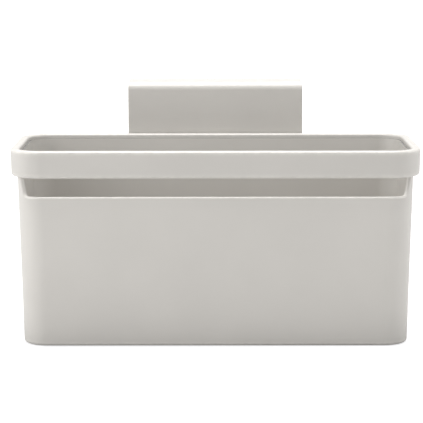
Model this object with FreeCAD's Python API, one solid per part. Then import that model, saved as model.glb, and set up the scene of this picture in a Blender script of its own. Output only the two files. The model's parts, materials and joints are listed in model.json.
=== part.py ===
import FreeCAD, Part
import math
import os

# Kitchen sink caddy, in millimetres, with +X to the right, +Y to the back and +Z up.
# The origin is on the standing plane, under the middle of the tub.
Vector = FreeCAD.Vector
X = Vector(1, 0, 0)
Y = Vector(0, 1, 0)
Z = Vector(0, 0, 1)

# Whole caddy
collar_width = 210.0  # outside, at the rim
collar_depth = 80.0  # outside, at the rim
tub_height = 101.6  # underside of the tub to the top of the collar
draft_deg = 1.2  # lean of the walls
foot_proud = 0.4  # the feet hold the tub this far off the standing plane
quarter_turn_deg = 90.0  # stands a block up that was drawn lying down

# Tub
corner_radius = 13.0  # outside, in plan
wall = 2.4
floor_thickness = 2.6
base_round = 1.5
floor_round = 5.0
window_height = 9.8  # open slot between the collar and the front wall
window_turn_deg = 44.0  # how far the sill runs round each front corner
window_top_turn_deg = 82.0  # how far its leaning ends have come round at the top of the wall
window_corner_round = 2.0
sill_round_share = 0.4  # rounding of the window's edge, as a share of the wall

# Drainage in the floor
drain_pitch = 19.0
drain_margin = 16.0  # least room between the last slot and the side wall
drain_length = 34.0
drain_width = 4.0
rib_length = 44.0
rib_width = 1.6
rib_height = 1.5

# Collar
collar_proud = 3.15  # stands this far out from the tub's wall
collar_height = 14.0
collar_play = 0.5  # between the tub's wall and the collar round it
flange_thickness = 2.4
flange_setback = 1.05  # from the tub's inner face back to the flange's edge
rim_round_share = 0.46  # rounding of the rim, as a share of the flange
skirt_round_share = 0.8  # rounding of the lower outer edge, as a share of the skirt
skirt_inner_round_share = 0.12

# Hanger
hanger_width = 95.5
hanger_rise = 27.5  # above the rim
hanger_thickness = 3.0
hanger_gap = 0.5  # between the back of the collar and the plate
inner_bend_round = 1.0
throat = 22.0  # between the plate and the leg's pad
leg_length = 38.0
leg_corner_round = 9.0
plate_corner_round = 4.0
hanger_edge_round = 0.5

# Rails on the tub's back that the hanger slides into
slide_clearance = 0.3
rail_grip = 4.0  # how far the lip covers the plate's edge
rail_web = 2.6
rail_lip = 2.2
rail_drop = 0.8  # below the collar
rail_length = 43.0  # how far the plate slides in
rail_round = 1.0
stop_thickness = 3.0
stop_slope = 2.6

# Grip pads inside the hook
pad_thickness = 1.6
pad_sunk = 0.6
pad_fit = 0.15  # round each pad in its pocket
pad_bevel = 0.4
bridge_pad_length = 80.0
bridge_pad_width = 14.0
leg_pad_length = 80.0
leg_pad_width = 16.0
leg_pad_drop = 18.0  # from the top of the hanger to the middle of the pad

# Bumpers plugged into bosses low on the tub's back
bumper_length = 26.0
bumper_width = 12.0
bumper_head = 2.0
bumper_proud = 0.4  # past the back of the rails
bumper_round = 0.8
bumper_plug = 5.0
bumper_inset = 37.2  # from the side of the underside to the middle of a bumper
bumper_rise = 15.0  # from the tub's underside to the middle of a bumper
boss_wall = 2.0

# Feet let into the underside
foot_length = 18.0
foot_width = 8.0
foot_sunk = 0.8
foot_inset_x = 18.2  # from the side of the underside to the middle of a foot
foot_inset_y = 10.2  # from its front or back to the middle of a foot
foot_bevel = 0.3

overrun = 5.0  # cuts run this far past what they cut
touch = 0.001  # points closer than this count as one

# Heights
base_z = foot_proud
floor_z = base_z + floor_thickness
rim_z = base_z + tub_height
wall_top_z = rim_z - flange_thickness
skirt_z = rim_z - collar_height
sill_z = skirt_z - window_height
rail_top_z = skirt_z - rail_drop
stop_z = rail_top_z - rail_length
hanger_top_z = rim_z + hanger_rise
bridge_z = hanger_top_z - hanger_thickness
leg_z = hanger_top_z - leg_length

# Depths behind the tub
plate_y = collar_depth / 2 + hanger_gap
plate_back_y = plate_y + hanger_thickness
rail_back_y = plate_back_y + slide_clearance + rail_lip
pad_proud = pad_thickness - pad_sunk
leg_y = plate_back_y + throat + pad_proud
leg_back_y = leg_y + hanger_thickness
bumper_back_y = rail_back_y + bumper_proud
boss_back_y = bumper_back_y - bumper_head


def tub_half(z, offset):
    """Half width and half depth of the tub's outer face at a height, moved out by an offset."""
    lean = (rim_z - z) * math.tan(math.radians(draft_deg))
    inset = collar_proud + lean - offset
    return collar_width / 2 - inset, collar_depth / 2 - inset


def box(x, y, z):
    """Block between two limits on each axis."""
    return Part.makeBox(x[1] - x[0], y[1] - y[0], z[1] - z[0], Vector(x[0], y[0], z[0]))


def points(edge):
    """Ends and middle of an edge."""
    middle = edge.valueAt((edge.FirstParameter + edge.LastParameter) / 2)
    return [v.Point for v in edge.Vertexes] + [middle]


def lies_at(z):
    """Test for edges that lie in one level plane."""
    return lambda edge: all(abs(p.z - z) < touch for p in points(edge))


def lies_in_depth(y):
    """Test for edges that lie in one plane across the depth."""
    return lambda edge: all(abs(p.y - y) < touch for p in points(edge))


def within(half):
    """Test for edges inside a half width and a half depth."""
    def test(edge):
        ends = points(edge)
        return all(abs(p.x) < half[0] + touch and abs(p.y) < half[1] + touch for p in ends)
    return test


def runs_along(axis):
    """Test for straight edges along an axis."""
    def test(edge):
        if not isinstance(edge.Curve, Part.Line):
            return False
        return abs(abs(edge.tangentAt(edge.FirstParameter).dot(axis)) - 1) < touch
    return test


def passes(*where):
    """Test for edges whose middle lies on given coordinates, with None where any will do."""
    def test(edge):
        middle = edge.CenterOfMass
        return all(w is None or abs(m - w) < touch for m, w in zip(middle, where))
    return test


def rounded(shape, radius, *tests):
    """Shape with every edge rounded that meets all the tests."""
    return shape.makeFillet(radius, [e for e in shape.Edges if all(t(e) for t in tests)])


def bevelled(shape, size, *tests):
    """Shape with every edge bevelled that meets all the tests."""
    return shape.makeChamfer(size, [e for e in shape.Edges if all(t(e) for t in tests)])


def tapered_block(z_low, z_high, half_low, half_high, radius):
    """Block with round upright corners that tapers from one level to another."""
    block = Part.makeWedge(
        -half_low[0], z_low, -half_low[1], -half_high[1], -half_high[0],
        half_low[0], z_high, half_low[1], half_high[1], half_high[0],
    )
    block.rotate(Vector(), X, quarter_turn_deg)
    uprights = [e for e in block.Edges if abs(e.Vertexes[0].Z - e.Vertexes[1].Z) > touch]
    return block.makeFillet(radius, uprights)


def wall_block(z_low, z_high, offset):
    """Block with the tub's own taper and corners, moved out from its wall by an offset."""
    return tapered_block(
        z_low, z_high, tub_half(z_low, offset), tub_half(z_high, offset), corner_radius + offset
    )


def stadium(centre, along, across, length, width, push):
    """Prism on a slot-shaped outline, pushed out from its centre along a vector."""
    run = along * ((length - width) / 2)
    side = across * (width / 2)
    tip = along * (length / 2)
    corners = [centre - run - side, centre + run - side, centre + run + side, centre - run + side]
    outline = Part.Wire([
        Part.LineSegment(corners[0], corners[1]).toShape(),
        Part.Arc(corners[1], centre + tip, corners[2]).toShape(),
        Part.LineSegment(corners[2], corners[3]).toShape(),
        Part.Arc(corners[3], centre - tip, corners[0]).toShape(),
    ])
    return Part.Face(outline).extrude(push)


def window_tool():
    """Cutter for the front window, with ends that lean outwards partway round each corner."""
    half_x, half_y = tub_half(sill_z, -corner_radius)
    turn = math.radians(window_turn_deg)
    spread = math.radians(window_top_turn_deg) - turn
    rise = wall_top_z + overrun - sill_z
    lean = (corner_radius - wall) * math.sin(spread) * rise / (wall_top_z - sill_z)
    reach = (corner_radius + overrun + lean) / math.cos(turn)

    def plan(z, shift):
        inner_x = half_x + shift * math.cos(turn)
        inner_y = half_y - shift * math.sin(turn)
        outer_x = inner_x + reach * math.sin(turn)
        outer_y = inner_y + reach * math.cos(turn)
        ring = [(-inner_x, -inner_y), (-outer_x, -outer_y), (outer_x, -outer_y), (inner_x, -inner_y)]
        return Part.makePolygon([Vector(x, y, z) for x, y in ring + ring[:1]])

    tool = Part.makeLoft([plan(sill_z, 0), plan(sill_z + rise, lean)], True, True)
    return rounded(tool, window_corner_round, lies_at(sill_z), lambda e: not runs_along(X)(e))


def is_sill(edge):
    """Test for the long edges of the front window, inside and outside the wall."""
    levels = [p.z for p in points(edge)]
    in_front = edge.CenterOfMass.y < -tub_half(sill_z, -corner_radius)[1]
    in_window = sill_z - touch < min(levels) < wall_top_z - touch
    across_wall = isinstance(edge.Curve, Part.Line) and edge.Length < 2 * wall
    return in_front and in_window and not across_wall


def make_rail():
    """Channel on the right of the tub's back that takes an edge of the hanger's plate."""
    edge_x = hanger_width / 2
    inner_x = edge_x - rail_grip
    outer_x = edge_x + slide_clearance + rail_web
    low_z = stop_z - stop_thickness
    profile = [
        (0, low_z), (rail_back_y - stop_slope, low_z), (rail_back_y, low_z + stop_slope),
        (rail_back_y, rail_top_z), (0, rail_top_z),
    ]
    outline = Part.makePolygon([Vector(inner_x, y, z) for y, z in profile + profile[:1]])
    rail = Part.Face(outline).extrude(X * (outer_x - inner_x))
    rail = rounded(rail, rail_round, runs_along(Z), passes(None, rail_back_y, None))
    slot = box(
        (inner_x - overrun, edge_x + slide_clearance),
        (plate_y - slide_clearance, plate_back_y + slide_clearance),
        (stop_z, rail_top_z + overrun),
    )
    return rail.cut(slot)


def make_stop():
    """Shelf between the rails that the hanger's plate stands on."""
    inner_x = hanger_width / 2 - rail_grip
    return box((-inner_x, inner_x), (0, plate_back_y), (stop_z - stop_thickness, stop_z))


def bumper_centre(side, y):
    """Middle of a bumper, at a depth."""
    out = tub_half(base_z, 0)[0] - bumper_inset
    return Vector(side * out, y, base_z + bumper_rise)


def make_boss(side):
    """Outside of the boss that holds a bumper, from the tub's middle plane."""
    return stadium(bumper_centre(side, 0), X, Z, bumper_length, bumper_width, Y * boss_back_y)


def boss_bore(side):
    """Hollow of a boss, as deep as the tub's wall allows."""
    wall_y = tub_half(base_z + bumper_rise + bumper_width / 2, 0)[1]
    length = bumper_length - 2 * boss_wall
    width = bumper_width - 2 * boss_wall
    return stadium(bumper_centre(side, wall_y), X, Z, length, width, Y * (boss_back_y - wall_y))


def foot_centres():
    """Middle of each foot on the standing plane, by the foot's name."""
    half_x, half_y = tub_half(base_z, 0)
    out_x = half_x - foot_inset_x
    out_y = half_y - foot_inset_y
    return {
        "foot_" + row + "_" + side: Vector(x * out_x, y * out_y, 0)
        for row, y in (("front", -1), ("rear", 1))
        for side, x in (("left", -1), ("right", 1))
    }


def foot_pocket(centre):
    """Recess under the tub for a foot."""
    length = foot_length + 2 * pad_fit
    width = foot_width + 2 * pad_fit
    return stadium(centre, X, Y, length, width, Z * (base_z + foot_sunk))


def drain_places():
    """Places of the drain slots across the floor, one in the middle and as many each side as fit."""
    room = tub_half(floor_z, -wall)[0] - drain_margin
    each_side = int(room / drain_pitch)
    return [i * drain_pitch for i in range(-each_side, each_side + 1)]


def make_drain(x):
    """Cutter for one drain slot."""
    return stadium(Vector(x, 0, 0), Y, X, drain_length, drain_width, Z * (floor_z + overrun))


def make_rib(x):
    """Low rib that holds things off the wet floor, rooted halfway down the floor."""
    root_z = base_z + floor_thickness / 2
    return stadium(Vector(x, 0, root_z), Y, X, rib_length, rib_width, Z * (floor_z + rib_height - root_z))


def make_tub():
    """Tapered tub with its window, drained floor, rails and bosses."""
    outside = wall_block(base_z, wall_top_z, 0)
    outside = rounded(outside, base_round, lies_at(base_z))
    rail = make_rail()
    on_back = [rail, rail.mirror(Vector(), X), make_stop(), make_boss(-1), make_boss(1)]
    cavity = wall_block(floor_z, wall_top_z + overrun, -wall)
    cavity = rounded(cavity, floor_round, lies_at(floor_z))
    tub = outside.fuse(on_back).cut(cavity).cut(window_tool())
    tub = rounded(tub, wall * sill_round_share, is_sill)
    drains = [make_drain(x) for x in drain_places()]
    pockets = [foot_pocket(centre) for centre in foot_centres().values()]
    tub = tub.cut(drains + pockets + [boss_bore(-1), boss_bore(1)])
    ribs = [make_rib(x + drain_pitch / 2) for x in drain_places()[:-1]]
    return tub.fuse(ribs).removeSplitter()


def make_collar():
    """Ring over the tub's wall, with a skirt outside it and a flange on top of it."""
    room = tub_half(wall_top_z, collar_play)
    under = tapered_block(skirt_z - overrun, wall_top_z, room, room, corner_radius + collar_play)
    mouth = wall_block(skirt_z - overrun, rim_z + overrun, flange_setback - wall)
    collar = wall_block(skirt_z, rim_z, collar_proud).cut(under).cut(mouth)
    collar = rounded(collar, flange_thickness * rim_round_share, lies_at(rim_z))
    outside_x = tub_half(skirt_z, collar_proud)[0]
    skirt = outside_x - room[0]
    inside = within(room)
    collar = rounded(collar, skirt * skirt_round_share, lies_at(skirt_z), lambda e: not inside(e))
    return rounded(collar, skirt * skirt_inner_round_share, lies_at(skirt_z), inside)


def make_hanger():
    """Hook bracket: a plate that slides in the rails, a bridge and a leg behind."""
    half = hanger_width / 2
    profile = [
        (plate_y, stop_z), (plate_y, hanger_top_z), (leg_back_y, hanger_top_z), (leg_back_y, leg_z),
        (leg_y, leg_z), (leg_y, bridge_z), (plate_back_y, bridge_z), (plate_back_y, stop_z),
    ]
    outline = Part.makePolygon([Vector(-half, y, z) for y, z in profile + profile[:1]])
    hanger = Part.Face(outline).extrude(X * hanger_width)
    hanger = rounded(hanger, plate_corner_round, runs_along(Y), lies_at(stop_z))
    hanger = rounded(hanger, leg_corner_round, runs_along(Y), lies_at(leg_z))
    hanger = rounded(hanger, inner_bend_round, runs_along(X), lies_at(bridge_z))
    hanger = rounded(hanger, inner_bend_round + hanger_thickness, runs_along(X), lies_at(hanger_top_z))
    hanger = rounded(hanger, hanger_edge_round, lambda e: abs(abs(e.CenterOfMass.x) - half) < touch)
    return hanger.cut([bridge_pad(pad_fit, 0), leg_pad(pad_fit, 0)])


def bridge_pad(fit, proud):
    """Pad let into the underside of the bridge, or its pocket with a fit round it."""
    centre = Vector(0, (plate_back_y + leg_y) / 2, bridge_z + pad_sunk)
    return stadium(
        centre, X, Y, bridge_pad_length + 2 * fit, bridge_pad_width + 2 * fit, -Z * (pad_sunk + proud)
    )


def leg_pad(fit, proud):
    """Pad let into the inner face of the leg, or its pocket with a fit round it."""
    centre = Vector(0, leg_y + pad_sunk, hanger_top_z - leg_pad_drop)
    return stadium(
        centre, X, Z, leg_pad_length + 2 * fit, leg_pad_width + 2 * fit, -Y * (pad_sunk + proud)
    )


def make_bumper(side):
    """Soft stop with a head on the boss's end and a plug inside it."""
    head = stadium(
        bumper_centre(side, boss_back_y), X, Z, bumper_length, bumper_width, Y * bumper_head
    )
    head = rounded(head, bumper_round, lies_in_depth(bumper_back_y))
    shrink = 2 * (boss_wall + pad_fit)
    plug = stadium(
        bumper_centre(side, boss_back_y - bumper_plug), X, Z,
        bumper_length - shrink, bumper_width - shrink, Y * bumper_plug,
    )
    return head.fuse(plug).removeSplitter()


def make_foot(centre):
    """Soft foot let into the underside of the tub."""
    foot = stadium(centre, X, Y, foot_length, foot_width, Z * (base_z + foot_sunk))
    return bevelled(foot, foot_bevel, lies_at(0))


def make_parts():
    """Every piece of the caddy, by name."""
    parts = {"tub": make_tub(), "collar": make_collar(), "hanger": make_hanger()}
    parts["bridge_pad"] = bevelled(bridge_pad(0, pad_proud), pad_bevel, lies_at(bridge_z - pad_proud))
    parts["leg_pad"] = bevelled(leg_pad(0, pad_proud), pad_bevel, lies_in_depth(leg_y - pad_proud))
    parts["bumper_left"] = make_bumper(-1)
    parts["bumper_right"] = make_bumper(1)
    for name, centre in foot_centres().items():
        parts[name] = make_foot(centre)
    return parts


os.makedirs("parts", exist_ok=True)
for node, shape in make_parts().items():
    shape.exportStep("parts/" + node + ".step")
    state = "valid" if shape.isValid() else "broken"
    print(node, len(shape.Solids), "solid", round(shape.Volume), "mm3", state)
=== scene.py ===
"""Looks of a kitchen sink caddy: moulded plastic, silicone trim and the studio that it stands in.

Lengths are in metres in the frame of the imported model, with +X right, +Y back and +Z up.
"""
import json
import math
from collections import namedtuple

import bmesh
import bpy
from bpy.props import FloatProperty, FloatVectorProperty, IntProperty, PointerProperty
from mathutils import Matrix, Vector


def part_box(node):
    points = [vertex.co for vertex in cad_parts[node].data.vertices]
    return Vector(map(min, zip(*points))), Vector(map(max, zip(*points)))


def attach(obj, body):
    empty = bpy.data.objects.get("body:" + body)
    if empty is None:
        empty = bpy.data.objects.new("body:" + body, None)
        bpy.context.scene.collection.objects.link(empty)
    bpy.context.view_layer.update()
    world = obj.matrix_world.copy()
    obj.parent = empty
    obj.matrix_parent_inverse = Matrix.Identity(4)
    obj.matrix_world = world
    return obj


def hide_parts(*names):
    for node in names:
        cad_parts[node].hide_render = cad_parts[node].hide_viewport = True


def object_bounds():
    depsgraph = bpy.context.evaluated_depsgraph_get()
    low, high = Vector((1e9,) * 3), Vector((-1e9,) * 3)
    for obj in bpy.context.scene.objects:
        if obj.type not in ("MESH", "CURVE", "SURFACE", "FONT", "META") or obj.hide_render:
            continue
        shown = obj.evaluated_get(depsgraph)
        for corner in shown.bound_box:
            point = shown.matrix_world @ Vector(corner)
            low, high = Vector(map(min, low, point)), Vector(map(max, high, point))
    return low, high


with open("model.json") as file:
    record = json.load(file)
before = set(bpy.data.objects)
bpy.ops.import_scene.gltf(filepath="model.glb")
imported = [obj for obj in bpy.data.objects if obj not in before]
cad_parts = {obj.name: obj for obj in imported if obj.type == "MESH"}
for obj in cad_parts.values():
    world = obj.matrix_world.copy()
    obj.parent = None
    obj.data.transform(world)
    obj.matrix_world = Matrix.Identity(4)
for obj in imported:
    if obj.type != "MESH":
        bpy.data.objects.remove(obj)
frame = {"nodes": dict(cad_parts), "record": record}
cad_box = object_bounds()

bl_info = {
    "name": "Kitchen sink caddy",
    "version": (1, 0, 0),
    "blender": (4, 5, 0),
    "location": "View3D > Sidebar > Caddy",
    "description": "Finishes a hanging sink caddy and sets up a studio round it",
    "category": "Object",
}

HALF_TURN = math.pi
RIGHT = Vector((1, 0, 0))
BACK = Vector((0, 1, 0))
UP = Vector((0, 0, 1))

SMOOTH_ANGLE = math.radians(32)  # faces that meet at a smaller angle are shaded as one
LEVEL = 0.99  # a face that looks up by more than this share lies level
MERGE_DISTANCE = 1e-7  # corners closer than this become one
RIM_STEPS = 4  # faces across a rounded rim
ROUND_PROFILE = 0.5  # bevel shape that is part of a circle
FLOOR_SIDES = 96
SENSOR_WIDTH = 36.0  # millimetres
NEAREST_VIEW = 0.01

# Colour sockets of a mix node, which shares their names among its types of value.
MIX_FIRST = 6
MIX_SECOND = 7
MIX_RESULT = 2

# Cells per metre of each pattern.
DRIFT_CELLS = 24.0
SMEAR_CELLS = 45.0
LEDGE_SHADE_CELLS = 180.0
HIGHLIGHT_WEAR_CELLS = 260.0
PRINT_CELLS = 420.0
LINT_CELLS = 1500.0

WAVES_PER_PIT = 0.12  # slow waves of the grain for each of its pits

# Ranges of values, from the low end to the high end.
WHOLE = (0.0, 1.0)
MOST_NOISE = (0.3, 0.7)  # where most values of a noise lie
MOST_MARKS = (0.25, 0.75)  # the same for two noises added together
LINT_PEAKS = (0.7, 0.76)  # noise that shows as lint
HIGHLIGHT_WEAR_STRENGTH = (0.5, 1.0)
LEDGE_SHADE_STRENGTH = (0.85, 1.0)
LEDGE_SHADE_EDGE = (0.3, 1.0)  # shares of the reach over which the painted shade thins out
LEDGE_SHADE_SLOPE = (0.3, 0.8)  # upward shares over which the painted shade comes to lie on a face

# Upward shares from which faces get lightened edges (edge wear and painted highlight), and how much more
# makes the lightening full.
ALL_BUT_DOWN = -0.95
ONLY_UP = 0.05
SLOPE_FADE = 0.25

SMEAR_SHARE = 0.75  # of the hand marks, with fine prints as the rest
HIGHLIGHT_WEAR_COVER = 0.8  # share of the light colour where an edge has its full wear and painted highlight
HIGHLIGHT_WEAR_POLISH = 0.02  # roughness lost there
LEDGE_SHADE_COVER = 0.95  # share of the dark colour where the painted shade is strongest
LEDGE_SHADE_DULLNESS = 0.4  # roughness added there
LINT_COVER = 0.3  # share of the lint's colour in a speck
LINT_TONE = 1.7  # lightness of lint beside the silicone

# Darkest and lightest tone beside the colour, spread of the roughness, strength of the grain, and the index
# of refraction.
Finish = namedtuple("Finish", "darkest lightest spread grain index")
PLASTIC = Finish(darkest=0.985, lightest=1.015, spread=0.03, grain=0.5, index=1.49)
SILICONE = Finish(darkest=0.93, lightest=1.05, spread=0.08, grain=0.4, index=1.41)

# How far each material's patterns are moved, so that no two materials show the same ones.
PATTERN_SHIFT = {
    "tub_plastic": (0.0, 0.0, 0.0),
    "collar_plastic": (0.7, 0.2, 0.4),
    "hanger_plastic": (0.3, 0.9, 0.6),
    "soft_silicone": (0.31, 0.17, 0.53),
}


class CaddyPlastic(bpy.types.PropertyGroup):
    """Finish of the three mouldings."""
    colour: FloatVectorProperty(
        name="Colour", description="Warm light grey of the plastic",
        subtype="COLOR", size=3, min=0, max=1, default=(0.56, 0.54, 0.508),
    )
    # Painted shade: the collar and the hanger are coloured darker than the tub, standing in for the shading
    # of their faces.
    collar_shade_tone: FloatProperty(
        name="Collar tone", description="Lightness of the collar beside the tub", min=0, default=0.92,
    )
    hanger_shade_tone: FloatProperty(
        name="Hanger tone", description="Lightness of the hanger beside the tub", min=0, default=0.97,
    )
    roughness: FloatProperty(
        name="Roughness", description="Mean roughness of the matte surface",
        subtype="FACTOR", min=0, max=1, default=0.34,
    )
    grain_size: FloatProperty(
        name="Grain size", description="Width of one pit of the moulded texture",
        subtype="DISTANCE", unit="LENGTH", default=0.0006,
    )
    grain_depth: FloatProperty(
        name="Grain depth", description="Depth of the moulded texture",
        subtype="DISTANCE", unit="LENGTH", default=0.00006,
    )
    # Edges are coloured lighter: edge wear, and a painted highlight where rounded edges catch the light.
    highlight_wear_tone: FloatProperty(
        name="Rub tone", description="Lightness of a rubbed edge beside the rest", min=0, default=1.3,
    )
    highlight_wear_reach: FloatProperty(
        name="Rub reach", description="How far rubbing has spread from an edge",
        subtype="DISTANCE", unit="LENGTH", default=0.003,
    )
    # Painted shade: the ledge at the top of the tub's wall is coloured dark, standing in for the shade in
    # the gap under the collar.
    ledge_shade_tone: FloatProperty(
        name="Grime tone", description="Lightness of the grime beside the plastic", min=0, default=0.22,
    )
    ledge_shade_reach: FloatProperty(
        name="Grime reach", description="How far grime has settled from a ledge",
        subtype="DISTANCE", unit="LENGTH", default=0.0008,
    )


class CaddySilicone(bpy.types.PropertyGroup):
    """Finish and shape of the soft trim."""
    colour: FloatVectorProperty(
        name="Colour", description="Grey of the silicone",
        subtype="COLOR", size=3, min=0, max=1, default=(0.36, 0.347, 0.325),
    )
    roughness: FloatProperty(
        name="Roughness", description="Mean roughness of the silicone",
        subtype="FACTOR", min=0, max=1, default=0.62,
    )
    grain_size: FloatProperty(
        name="Grain size", description="Width of one pit of the surface",
        subtype="DISTANCE", unit="LENGTH", default=0.0003,
    )
    grain_depth: FloatProperty(
        name="Grain depth", description="Depth of the surface's texture",
        subtype="DISTANCE", unit="LENGTH", default=0.00002,
    )
    edge_round: FloatProperty(
        name="Edge rounding", description="Radius of the outer edge",
        subtype="DISTANCE", unit="LENGTH", default=0.0006,
    )
    margin: FloatProperty(
        name="Margin", description="Plain border round the grooves",
        subtype="DISTANCE", unit="LENGTH", default=0.0012,
    )
    groove_pitch: FloatProperty(
        name="Groove pitch", description="Distance from one grip groove to the next",
        subtype="DISTANCE", unit="LENGTH", default=0.004,
    )
    groove_width: FloatProperty(
        name="Groove width", description="Width of a groove at the surface",
        subtype="DISTANCE", unit="LENGTH", default=0.0016,
    )
    groove_depth: FloatProperty(
        name="Groove depth", description="Depth of a groove",
        subtype="DISTANCE", unit="LENGTH", default=0.0004,
    )
    bumper_head: FloatProperty(
        name="Bumper head", description="Thickness of a bumper's head, outside its boss",
        subtype="DISTANCE", unit="LENGTH", default=0.002,
    )
    plug_step: FloatProperty(
        name="Plug step", description="How much smaller a bumper's plug is than its head, all round",
        subtype="DISTANCE", unit="LENGTH", default=0.00215,
    )
    arc_steps: IntProperty(
        name="Arc steps", description="Edges round each half-round end", min=4, default=20,
    )


class CaddyStage(bpy.types.PropertyGroup):
    """Floor, lights and camera."""
    floor_colour: FloatVectorProperty(
        name="Floor colour", description="Colour of the floor in the light that it throws back",
        subtype="COLOR", size=3, min=0, max=1, default=(0.58, 0.58, 0.58),
    )
    # Painted shadow: close to the feet the floor is coloured darker, so that it throws less light back onto
    # the foot of the tub.
    shadow_colour: FloatVectorProperty(
        name="Near colour", description="The same close to the tub",
        subtype="COLOR", size=3, min=0, max=1, default=(0.33, 0.33, 0.33),
    )
    shadow_fade: FloatProperty(
        name="Floor fade", description="How far from the feet the floor takes to reach its full colour",
        subtype="DISTANCE", unit="LENGTH", default=0.07,
    )
    floor_glow: FloatProperty(
        name="Floor glow", description="Light added to the floor in the camera's view, to make it white",
        min=0, default=0.75,
    )
    shade_edge: FloatProperty(
        name="Shade edge", description="How far the floor takes to brighten beyond the feet",
        subtype="DISTANCE", unit="LENGTH", default=0.002,
    )
    floor_radius: FloatProperty(
        name="Floor radius", description="Half width of the floor",
        subtype="DISTANCE", unit="LENGTH", default=8.0,
    )
    surround: FloatProperty(
        name="Surround", description="Strength of the even light from all round", min=0, default=0.58,
    )
    overhead: FloatProperty(
        name="Overhead", description="Strength of the soft light from above", min=0, default=2.85,
    )
    rear: FloatProperty(
        name="Rear", description="Strength of the soft light from behind", min=0, default=0.5,
    )
    sun_angle: FloatProperty(
        name="Sun angle", description="Width of the two soft lights from afar, as an angle",
        subtype="ANGLE", unit="ROTATION", min=0, default=math.radians(30),
    )
    left_power: FloatProperty(
        name="Left power", description="Power of the softbox on the left",
        subtype="POWER", unit="POWER", min=0, default=2.7,
    )
    right_power: FloatProperty(
        name="Right power", description="Power of the softbox on the right",
        subtype="POWER", unit="POWER", min=0, default=2.7,
    )
    front_power: FloatProperty(
        name="Front power", description="Power of the softbox in front, on the left",
        subtype="POWER", unit="POWER", min=0, default=3.7,
    )
    left_place: FloatVectorProperty(
        name="Left place", description="Where the softbox on the left stands",
        subtype="TRANSLATION", unit="LENGTH", size=3, default=(-0.9, 0.0, 0.36),
    )
    right_place: FloatVectorProperty(
        name="Right place", description="Where the softbox on the right stands",
        subtype="TRANSLATION", unit="LENGTH", size=3, default=(0.9, 0.0, 0.36),
    )
    front_place: FloatVectorProperty(
        name="Front place", description="Where the softbox in front stands",
        subtype="TRANSLATION", unit="LENGTH", size=3, default=(-0.8, -0.65, 0.5),
    )
    softbox_width: FloatProperty(
        name="Softbox width", description="Width of a softbox",
        subtype="DISTANCE", unit="LENGTH", default=0.6,
    )
    softbox_height: FloatProperty(
        name="Softbox height", description="Height of a softbox",
        subtype="DISTANCE", unit="LENGTH", default=0.8,
    )
    lens: FloatProperty(
        name="Lens", description="Focal length", subtype="DISTANCE_CAMERA", unit="CAMERA", default=145.6,
    )
    camera_place: FloatVectorProperty(
        name="Camera place", description="Where the camera stands",
        subtype="TRANSLATION", unit="LENGTH", size=3, default=(-0.0004, -0.8932, 0.2129),
    )
    camera_turn: FloatVectorProperty(
        name="Camera turn", description="Tilt, roll and heading of the camera",
        subtype="EULER", unit="ROTATION", size=3,
        default=(math.radians(80.59), math.radians(0.08), math.radians(0.095)),
    )


def add(tree, kind, inputs=None, **settings):
    """Add a node, apply its settings, then set its inputs or link them to other sockets."""
    node = tree.nodes.new(kind)
    for name, value in settings.items():
        setattr(node, name, value)
    for name, value in (inputs or {}).items():
        if isinstance(value, bpy.types.NodeSocket):
            tree.links.new(value, node.inputs[name])
        else:
            node.inputs[name].default_value = value
    return node


def math_node(tree, operation, first, second=0.0):
    """Result of one sum on two values or sockets."""
    return add(tree, "ShaderNodeMath", {0: first, 1: second}, operation=operation).outputs["Value"]


def remap(tree, value, span, target=WHOLE):
    """Value from one range, moved smoothly to another and held at its ends."""
    ends = {"From Min": span[0], "From Max": span[1], "To Min": target[0], "To Max": target[1]}
    return add(
        tree, "ShaderNodeMapRange", {"Value": value, **ends}, interpolation_type="SMOOTHSTEP"
    ).outputs["Result"]


def noise(tree, vector, cells, detail=2.0, roughness=0.5):
    """Noise from 0 to 1 with a number of cells per metre."""
    return add(
        tree, "ShaderNodeTexNoise",
        {"Vector": vector, "Scale": cells, "Detail": detail, "Roughness": roughness},
    ).outputs["Fac"]


def mixed(tree, factor, first, second):
    """Mix of two colours."""
    node = add(tree, "ShaderNodeMix", {"Factor": factor}, data_type="RGBA")
    for index, value in ((MIX_FIRST, first), (MIX_SECOND, second)):
        socket = node.inputs[index]
        if isinstance(value, bpy.types.NodeSocket):
            tree.links.new(value, socket)
        else:
            socket.default_value = (*value, 1.0)
    return node.outputs[MIX_RESULT]


def coordinates(tree):
    """Object coordinates of a point."""
    return add(tree, "ShaderNodeTexCoord").outputs["Object"]


def parts(tree, vector):
    """X, Y and Z of a vector."""
    return add(tree, "ShaderNodeSeparateXYZ", {"Vector": vector}).outputs


def upward(tree):
    """How far a face looks up, from 1 where it lies level to 0 where it stands and -1 underneath."""
    return parts(tree, add(tree, "ShaderNodeNewGeometry").outputs["Normal"])["Z"]


def off_level(tree, given):
    """How far a point lies above or below a level, as a share of a reach."""
    rise = math_node(tree, "SUBTRACT", parts(tree, given["Vector"])["Z"], given["Level"])
    return math_node(tree, "DIVIDE", math_node(tree, "ABSOLUTE", rise), given["Reach"])


def moulded_grain(tree, given):
    """Fine pits of an etched mould, and the slow drift of colour in a moulding."""
    pits = noise(tree, given["Vector"], given["Pits per metre"], detail=3.0, roughness=0.6)
    wave_cells = math_node(tree, "MULTIPLY", given["Pits per metre"], WAVES_PER_PIT)
    waves = noise(tree, given["Vector"], wave_cells)
    drift = noise(tree, given["Vector"], DRIFT_CELLS, detail=3.0)
    return {"Height": math_node(tree, "ADD", pits, waves), "Drift": remap(tree, drift, MOST_NOISE)}


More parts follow.
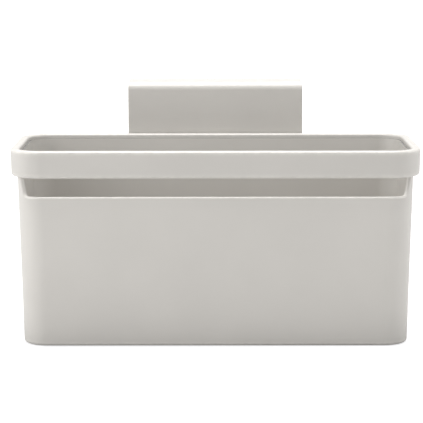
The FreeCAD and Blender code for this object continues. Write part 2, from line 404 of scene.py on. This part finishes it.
def highlit_worn_edge(tree, given):
    """Uneven lightening of an edge at one height, on faces that look up by some slope or more: edge wear
    and a painted highlight.
    """
    near = remap(tree, off_level(tree, given), WHOLE, WHOLE[::-1])
    above = math_node(tree, "SUBTRACT", upward(tree), given["Slope"])
    rubbed = math_node(tree, "MULTIPLY", near, remap(tree, above, (0.0, SLOPE_FADE)))
    patches = noise(tree, given["Vector"], HIGHLIGHT_WEAR_CELLS, detail=4.0, roughness=0.6)
    return {"Mask": math_node(tree, "MULTIPLY", rubbed, remap(tree, patches, MOST_NOISE, HIGHLIGHT_WEAR_STRENGTH))}


def hand_marks(tree, given):
    """Faint blotches that handling leaves in the gloss."""
    smears = noise(tree, given["Vector"], SMEAR_CELLS, detail=4.0, roughness=0.55)
    prints = noise(tree, given["Vector"], PRINT_CELLS)
    both = math_node(
        tree, "ADD",
        math_node(tree, "MULTIPLY", smears, SMEAR_SHARE),
        math_node(tree, "MULTIPLY", prints, 1 - SMEAR_SHARE),
    )
    return {"Blotch": remap(tree, both, MOST_MARKS)}


def painted_ledge_shade(tree, given):
    """Painted shade: dark, dull colour that lies on a ledge at one height, standing in for the shade that
    falls there.
    """
    near = remap(tree, off_level(tree, given), LEDGE_SHADE_EDGE, WHOLE[::-1])
    lying = math_node(tree, "MULTIPLY", near, remap(tree, upward(tree), LEDGE_SHADE_SLOPE))
    depth = noise(tree, given["Vector"], LEDGE_SHADE_CELLS, detail=3.0)
    return {"Mask": math_node(tree, "MULTIPLY", lying, remap(tree, depth, MOST_NOISE, LEDGE_SHADE_STRENGTH))}


def new_group(name, build, labels):
    """Shader group with labelled inputs, built by a function that returns its outputs by label."""
    tree = bpy.data.node_groups.new(name, "ShaderNodeTree")
    for label in labels:
        kind = "NodeSocketVector" if label == "Vector" else "NodeSocketFloat"
        tree.interface.new_socket(label, in_out="INPUT", socket_type=kind)
    results = build(tree, tree.nodes.new("NodeGroupInput").outputs)
    for label in results:
        tree.interface.new_socket(label, in_out="OUTPUT", socket_type="NodeSocketFloat")
    end = tree.nodes.new("NodeGroupOutput").inputs
    for label, socket in results.items():
        tree.links.new(socket, end[label])
    return tree


def placed(tree, build, inputs):
    """Outputs of a shared shader group that is placed in a material with its own values.

    The group has the name of the function that builds it, and is built when it is first placed.
    """
    name = build.__name__.replace("_", " ")
    group = bpy.data.node_groups.get(name) or new_group(name, build, inputs)
    return add(tree, "ShaderNodeGroup", inputs, node_tree=group).outputs


def pattern_place(tree, name):
    """Object coordinates, moved as the material of a name has its patterns moved."""
    return add(
        tree, "ShaderNodeMapping", {"Vector": coordinates(tree), "Location": PATTERN_SHIFT[name]}
    ).outputs["Vector"]


def shade(colour, share):
    """Colour made lighter or darker by a share."""
    return tuple(min(1.0, c * share) for c in colour)


def matte_material(name, colour, settings, finish):
    """Matte material with etched grain, drifting colour and hand marks in its gloss."""
    material = bpy.data.materials.new(name)
    material.use_nodes = True
    tree = material.node_tree
    sockets = tree.nodes["Principled BSDF"].inputs
    spot = pattern_place(tree, name)
    grain = placed(tree, moulded_grain, {"Vector": spot, "Pits per metre": 1 / settings.grain_size})
    drifting = mixed(tree, grain["Drift"], shade(colour, finish.darkest), shade(colour, finish.lightest))
    tree.links.new(drifting, sockets["Base Color"])
    marks = placed(tree, hand_marks, {"Vector": spot})
    gloss = (settings.roughness - finish.spread, settings.roughness + finish.spread)
    tree.links.new(remap(tree, marks["Blotch"], WHOLE, gloss), sockets["Roughness"])
    bump = add(
        tree, "ShaderNodeBump",
        {"Height": grain["Height"], "Distance": settings.grain_depth, "Strength": finish.grain},
    )
    tree.links.new(bump.outputs["Normal"], sockets["Normal"])
    sockets["IOR"].default_value = finish.index
    return material


def lay_over(material, mask, cover, colour, dulling=0.0):
    """Cover a material with a colour where a mask is, and make it duller or glossier there."""
    tree = material.node_tree
    sockets = tree.nodes["Principled BSDF"].inputs
    under = sockets["Base Color"].links[0].from_socket
    over = mixed(tree, math_node(tree, "MULTIPLY", mask, cover), under, colour)
    tree.links.new(over, sockets["Base Color"])
    if dulling:
        gloss = sockets["Roughness"].links[0].from_socket
        change = math_node(tree, "MULTIPLY", mask, dulling)
        tree.links.new(math_node(tree, "ADD", gloss, change), sockets["Roughness"])


def moulded_plastic(name, settings, tone, highlit_edges):
    """Warm grey matte plastic with edges lightened at some heights, by edge wear and a painted highlight.

    Each lightened edge is the height of an edge and the least slope of the faces that are lightened there.
    A tone below 1 darkens the whole plastic: painted shade on the collar and the hanger.
    """
    base = shade(settings.colour, tone)
    material = matte_material(name, base, settings, PLASTIC)
    tree = material.node_tree
    place = coordinates(tree)
    highlight_wear = 0.0
    for level, slope in highlit_edges:
        values = {"Vector": place, "Level": level, "Reach": settings.highlight_wear_reach, "Slope": slope}
        highlight_wear = math_node(tree, "MAXIMUM", highlight_wear, placed(tree, highlit_worn_edge, values)["Mask"])
    # Painted highlight with edge wear: the edges are coloured lighter here.
    lay_over(material, highlight_wear, HIGHLIGHT_WEAR_COVER, shade(base, settings.highlight_wear_tone), -HIGHLIGHT_WEAR_POLISH)
    return material


def shade_ledge(material, settings, level):
    """Lay painted shade, a dark dull colour, over a plastic where it has a ledge."""
    tree = material.node_tree
    values = {"Vector": coordinates(tree), "Level": level, "Reach": settings.ledge_shade_reach}
    shade_mask = placed(tree, painted_ledge_shade, values)["Mask"]
    lay_over(material, shade_mask, LEDGE_SHADE_COVER, shade(settings.colour, settings.ledge_shade_tone), LEDGE_SHADE_DULLNESS)


def soft_silicone(name, settings):
    """Matte grey silicone with specks of lint."""
    material = matte_material(name, settings.colour, settings, SILICONE)
    tree = material.node_tree
    lint = remap(tree, noise(tree, pattern_place(tree, name), LINT_CELLS, detail=1.0), LINT_PEAKS)
    lay_over(material, lint, LINT_COVER, shade(settings.colour, LINT_TONE))
    return material


def silicone():
    """The one silicone material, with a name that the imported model's plain materials don't have."""
    name = "soft_silicone"
    return bpy.data.materials.get(name) or soft_silicone(name, bpy.context.scene.caddy_silicone)


def finish_node(name, material):
    """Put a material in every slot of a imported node."""
    for slot in frame["nodes"][name].material_slots:
        slot.material = material


def outline(bm, length, width, steps):
    """Slot-shaped face lying flat on the origin, with its long side along X."""
    run = (length - width) / 2
    start = bm.verts.new((run, -width / 2, 0))
    right = bmesh.ops.spin(
        bm, geom=[start], cent=(run, 0, 0), axis=UP, angle=HALF_TURN, steps=steps
    )["geom_last"]
    corner = bm.verts.new((-run, width / 2, 0))
    bm.edges.new((right[0], corner))
    left = bmesh.ops.spin(
        bm, geom=[corner], cent=(-run, 0, 0), axis=UP, angle=HALF_TURN, steps=steps
    )["geom_last"]
    bm.edges.new((left[0], start))
    bmesh.ops.contextual_create(bm, geom=bm.edges[:])
    bmesh.ops.recalc_face_normals(bm, faces=bm.faces[:])
    return bm.faces[0]


def raised(bm, face, height):
    """Top face of a block pushed up from a flat face."""
    if face.normal.z > 0:
        face.normal_flip()
    made = bmesh.ops.extrude_face_region(bm, geom=[face], use_keep_orig=True)["geom"]
    corners = [v for v in made if isinstance(v, bmesh.types.BMVert)]
    bmesh.ops.translate(bm, vec=UP * height, verts=corners)
    bmesh.ops.recalc_face_normals(bm, faces=bm.faces[:])
    return next(f for f in made if isinstance(f, bmesh.types.BMFace))


def softened(bm, face, radius):
    """Top face after its rim is rounded."""
    bmesh.ops.bevel(
        bm, geom=face.edges[:], offset=radius, segments=RIM_STEPS, profile=ROUND_PROFILE,
        affect="EDGES", material=-1,
    )
    return max((f for f in bm.faces if f.normal.z > LEVEL), key=lambda f: f.calc_area())


def soft_block(length, width, height, settings):
    """Slot-shaped block with a rounded rim, and its top face."""
    bm = bmesh.new()
    top = raised(bm, outline(bm, length, width, settings.arc_steps), height)
    return bm, softened(bm, top, settings.edge_round)


def inset(bm, face, thickness, depth=0.0):
    """Draw a border round a face, and raise or sink what is inside it by a depth."""
    bmesh.ops.inset_region(bm, faces=[face], thickness=thickness, depth=depth, use_even_offset=True)


def ring_groove(bm, face, settings):
    """Groove that follows the outline of a face, with a third of its width for its floor and each slope."""
    third = settings.groove_width / 3
    inset(bm, face, settings.margin)
    inset(bm, face, third, -settings.groove_depth)
    inset(bm, face, third)
    inset(bm, face, third, settings.groove_depth)


def cross_grooves(bm, face, length, settings):
    """Row of grooves across a long face, cut as strips that are then sunk."""
    inset(bm, face, settings.margin)
    half = settings.groove_width / 2
    slope = half / 2
    count = int((length / 2 - settings.margin - half) / settings.groove_pitch)
    places = [i * settings.groove_pitch for i in range(-count, count + 1)]
    strips = [face]
    for place in places:
        for side in (-half, half):
            geom = strips + [e for f in strips for e in f.edges] + [v for f in strips for v in f.verts]
            cut = bmesh.ops.bisect_plane(
                bm, geom=list(set(geom)), plane_co=(place + side, 0, 0), plane_no=RIGHT
            )["geom"]
            strips = [f for f in cut if isinstance(f, bmesh.types.BMFace)]
    for strip in strips:
        middle = strip.calc_center_median().x
        if any(abs(middle - place) < slope for place in places):
            inset(bm, strip, slope, -settings.groove_depth)


def add_plug(bm, step, depth):
    """Plug under a block, smaller than the block all round."""
    base = min(bm.faces, key=lambda f: f.calc_center_median().z)
    inset(bm, base, step)
    inset(bm, base, 0.0, depth)


def finished_piece(name, bm, place, body, node):
    """Silicone object from a bmesh, moved to its place in the frame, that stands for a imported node."""
    bmesh.ops.transform(bm, matrix=place, verts=bm.verts[:])
    bmesh.ops.remove_doubles(bm, verts=bm.verts[:], dist=MERGE_DISTANCE)
    bmesh.ops.recalc_face_normals(bm, faces=bm.faces[:])
    for face in bm.faces:
        face.smooth = True
    for edge in bm.edges:
        edge.smooth = edge.calc_face_angle(0.0) < SMOOTH_ANGLE
    mesh = bpy.data.meshes.new(name)
    bm.to_mesh(mesh)
    bm.free()
    mesh.materials.append(silicone())
    piece = bpy.data.objects.new(name, mesh)
    bpy.context.scene.collection.objects.link(piece)
    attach(piece, body)
    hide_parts(node)


def facing(node, outward, across):
    """Matrix that lays a block with its base on a node's inner side and its top outward, with its sizes."""
    low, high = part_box(node)
    middle = (low + high) / 2
    size = high - low
    thickness = abs(size.dot(outward))
    base = middle - outward * (thickness / 2)
    turn = Matrix((RIGHT, across, outward)).transposed().to_4x4()
    return Matrix.Translation(base) @ turn, size.x, abs(size.dot(across)), thickness


def window_sill():
    """Height of the front window's lower edge."""
    openings = frame["record"]["physics"]["openings"]
    return next(opening["box_m"][0][2] for opening in openings if opening["name"] == "front_window")


def feet():
    """Names of the feet's nodes."""
    return sorted(name for name in frame["nodes"] if name.startswith("foot_"))


def beyond_feet(tree):
    """How far a point of the floor lies outside the rectangle round the feet."""
    reach = Vector((0, 0, 0))
    for node in feet():
        reach = Vector(map(max, reach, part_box(node)[1]))
    axes = parts(tree, coordinates(tree))
    across = math_node(tree, "SUBTRACT", math_node(tree, "ABSOLUTE", axes["X"]), reach.x)
    along = math_node(tree, "SUBTRACT", math_node(tree, "ABSOLUTE", axes["Y"]), reach.y)
    return math_node(tree, "MAXIMUM", across, along)


def floor_material(settings):
    """Plain pale material that the camera sees as white except under the tub. Close to the feet its colour
    is darker, a painted shadow in the light that it throws back.

    It is clear from below, and lets light through among the feet, so that the underside can be looked at.
    """
    material = bpy.data.materials.new("pale_floor")
    material.use_nodes = True
    tree = material.node_tree
    shader = tree.nodes["Principled BSDF"]
    distance = beyond_feet(tree)
    # Painted shadow: darker floor colour near the feet.
    out_of_shadow = remap(tree, distance, (0.0, settings.shadow_fade))
    colour = mixed(tree, out_of_shadow, settings.shadow_colour, settings.floor_colour)
    tree.links.new(colour, shader.inputs["Base Color"])
    shader.inputs["Roughness"].default_value = 1.0
    shader.inputs["Specular IOR Level"].default_value = 0.0
    seen = add(tree, "ShaderNodeLightPath").outputs["Is Camera Ray"]
    outside = remap(tree, distance, (0.0, settings.shade_edge))
    tree.links.new(math_node(tree, "MULTIPLY", seen, outside), shader.inputs["Emission Color"])
    shader.inputs["Emission Strength"].default_value = settings.floor_glow
    below = add(tree, "ShaderNodeNewGeometry").outputs["Backfacing"]
    solid = math_node(tree, "MAXIMUM", seen, outside)
    open_share = math_node(tree, "MAXIMUM", below, math_node(tree, "SUBTRACT", 1.0, solid))
    clear = add(tree, "ShaderNodeBsdfTransparent").outputs["BSDF"]
    either = add(tree, "ShaderNodeMixShader", {0: open_share, 1: shader.outputs["BSDF"], 2: clear})
    tree.links.new(either.outputs["Shader"], tree.nodes["Material Output"].inputs["Surface"])
    return material


def make_floor(settings):
    """Round floor on the standing plane."""
    bm = bmesh.new()
    bmesh.ops.create_circle(bm, cap_ends=True, segments=FLOOR_SIDES, radius=settings.floor_radius)
    mesh = bpy.data.meshes.new("floor")
    bm.to_mesh(mesh)
    bm.free()
    mesh.materials.append(floor_material(settings))
    floor = bpy.data.objects.new("floor", mesh)
    bpy.context.scene.collection.objects.link(floor)


def make_surround(settings):
    """Even white light from all round."""
    world = bpy.data.worlds.new("surround")
    world.use_nodes = True
    background = world.node_tree.nodes["Background"]
    background.inputs["Color"].default_value = (1.0, 1.0, 1.0, 1.0)
    background.inputs["Strength"].default_value = settings.surround
    bpy.context.scene.world = world


def new_light(name, kind, place, aim, **settings):
    """Light at a place, turned to aim at a point."""
    data = bpy.data.lights.new(name, kind)
    for key, value in settings.items():
        setattr(data, key, value)
    light = bpy.data.objects.new(name, data)
    light.location = place
    light.rotation_euler = (Vector(aim) - Vector(place)).to_track_quat("-Z", "Y").to_euler()
    bpy.context.scene.collection.objects.link(light)


def make_lights(settings):
    """Soft light from above and behind, and three softboxes: one on each side and one in front."""
    middle = (cad_box[0] + cad_box[1]) / 2
    suns = {"overhead": (UP, settings.overhead), "rear": (UP + BACK, settings.rear)}
    for name, (side, strength) in suns.items():
        new_light(name, "SUN", middle + side, middle, energy=strength, angle=settings.sun_angle)
    softboxes = {
        "left": (settings.left_place, settings.left_power),
        "right": (settings.right_place, settings.right_power),
        "front": (settings.front_place, settings.front_power),
    }
    for name, (place, power) in softboxes.items():
        new_light(
            name, "AREA", place, middle, energy=power, shape="RECTANGLE",
            size=settings.softbox_width, size_y=settings.softbox_height,
        )


def make_camera(settings):
    """Camera in front, a little above the rim."""
    data = bpy.data.cameras.new("camera")
    data.lens = settings.lens
    data.sensor_width = SENSOR_WIDTH
    data.clip_start = NEAREST_VIEW
    camera = bpy.data.objects.new("camera", data)
    camera.location = settings.camera_place
    camera.rotation_euler = settings.camera_turn
    bpy.context.scene.collection.objects.link(camera)
    bpy.context.scene.camera = camera


class CADDY_OT_tub(bpy.types.Operator):
    """Give the tub its moulded plastic"""
    bl_idname = "caddy.tub"
    bl_label = "Tub"

    def execute(self, context):
        settings = context.scene.caddy_plastic
        underside, wall_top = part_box("tub")
        # The base edge and the window sill are coloured lighter: edge wear and a painted highlight along
        # them.
        highlit_edges = [(underside.z, ALL_BUT_DOWN), (window_sill(), ONLY_UP)]
        plastic = moulded_plastic("tub_plastic", settings, 1.0, highlit_edges)
        # Painted shade on the ledge under the collar's flange.
        shade_ledge(plastic, settings, wall_top.z)
        finish_node("tub", plastic)
        return {"FINISHED"}


class CADDY_OT_collar(bpy.types.Operator):
    """Give the collar its moulded plastic"""
    bl_idname = "caddy.collar"
    bl_label = "Collar"

    def execute(self, context):
        settings = context.scene.caddy_plastic
        # The rim and the lower lip of the collar are coloured lighter: edge wear and a painted highlight.
        highlit_edges = [(corner.z, ALL_BUT_DOWN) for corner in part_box("collar")]
        finish_node("collar", moulded_plastic("collar_plastic", settings, settings.collar_shade_tone, highlit_edges))
        return {"FINISHED"}


class CADDY_OT_hanger(bpy.types.Operator):
    """Give the hanger its moulded plastic"""
    bl_idname = "caddy.hanger"
    bl_label = "Hanger"

    def execute(self, context):
        settings = context.scene.caddy_plastic
        # The top of the hanger is coloured lighter: edge wear and a painted highlight.
        highlit_edges = [(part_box("hanger")[1].z, ALL_BUT_DOWN)]
        finish_node("hanger", moulded_plastic("hanger_plastic", settings, settings.hanger_shade_tone, highlit_edges))
        return {"FINISHED"}


class CADDY_OT_pads(bpy.types.Operator):
    """Model the two grip pads inside the hook"""
    bl_idname = "caddy.pads"
    bl_label = "Grip pads"

    def execute(self, context):
        settings = context.scene.caddy_silicone
        for node, outward, across in (("bridge_pad", -UP, -BACK), ("leg_pad", -BACK, UP)):
            place, length, width, thickness = facing(node, outward, across)
            bm, top = soft_block(length, width, thickness, settings)
            cross_grooves(bm, top, length, settings)
            finished_piece("grip_" + node, bm, place, "hanger", node)
        return {"FINISHED"}


class CADDY_OT_bumpers(bpy.types.Operator):
    """Model the two bumpers low on the back"""
    bl_idname = "caddy.bumpers"
    bl_label = "Bumpers"

    def execute(self, context):
        settings = context.scene.caddy_silicone
        for node in ("bumper_left", "bumper_right"):
            place, length, width, thickness = facing(node, BACK, -UP)
            bm, top = soft_block(length, width, settings.bumper_head, settings)
            ring_groove(bm, top, settings)
            plug = thickness - settings.bumper_head
            add_plug(bm, settings.plug_step, plug)
            lifted = place @ Matrix.Translation(UP * plug)
            finished_piece("soft_" + node, bm, lifted, "tub", node)
        return {"FINISHED"}


class CADDY_OT_feet(bpy.types.Operator):
    """Model the four feet under the tub"""
    bl_idname = "caddy.feet"
    bl_label = "Feet"

    def execute(self, context):
        settings = context.scene.caddy_silicone
        for node in feet():
            place, length, width, thickness = facing(node, -UP, -BACK)
            bm, top = soft_block(length, width, thickness, settings)
            ring_groove(bm, top, settings)
            finished_piece("soft_" + node, bm, place, "tub", node)
        return {"FINISHED"}


class CADDY_OT_stage(bpy.types.Operator):
    """Set up the floor, the lights and the camera"""
    bl_idname = "caddy.stage"
    bl_label = "Stage"

    def execute(self, context):
        settings = context.scene.caddy_stage
        make_floor(settings)
        make_surround(settings)
        make_lights(settings)
        make_camera(settings)
        context.scene.view_settings.view_transform = "Standard"
        return {"FINISHED"}


OPERATORS = (
    CADDY_OT_tub, CADDY_OT_collar, CADDY_OT_hanger, CADDY_OT_pads, CADDY_OT_bumpers, CADDY_OT_feet,
    CADDY_OT_stage,
)


class CADDY_PT_panel(bpy.types.Panel):
    """Sidebar panel that lists the operators and the settings"""
    bl_idname = "CADDY_PT_panel"
    bl_label = "Sink caddy"
    bl_space_type = "VIEW_3D"
    bl_region_type = "UI"
    bl_category = "Caddy"

    def draw(self, context):
        for operator in OPERATORS:
            self.layout.operator(operator.bl_idname)
        for name, group in GROUPS.items():
            for key in group.__annotations__:
                self.layout.prop(getattr(context.scene, name), key)


GROUPS = {"caddy_plastic": CaddyPlastic, "caddy_silicone": CaddySilicone, "caddy_stage": CaddyStage}
CLASSES = (*GROUPS.values(), *OPERATORS, CADDY_PT_panel)


def register():
    """Add the settings, the operators and the panel."""
    for cls in CLASSES:
        bpy.utils.register_class(cls)
    for name, group in GROUPS.items():
        setattr(bpy.types.Scene, name, PointerProperty(type=group))


def unregister():
    """Take the settings, the operators and the panel away again."""
    for name in GROUPS:
        delattr(bpy.types.Scene, name)
    for cls in reversed(CLASSES):
        bpy.utils.unregister_class(cls)


def main():
    """Dress the caddy and its stage."""
    register()
    bpy.ops.caddy.tub()
    bpy.ops.caddy.collar()
    bpy.ops.caddy.hanger()
    bpy.ops.caddy.pads()
    bpy.ops.caddy.bumpers()
    bpy.ops.caddy.feet()
    bpy.ops.caddy.stage()


if __name__ == "__main__":
    main()
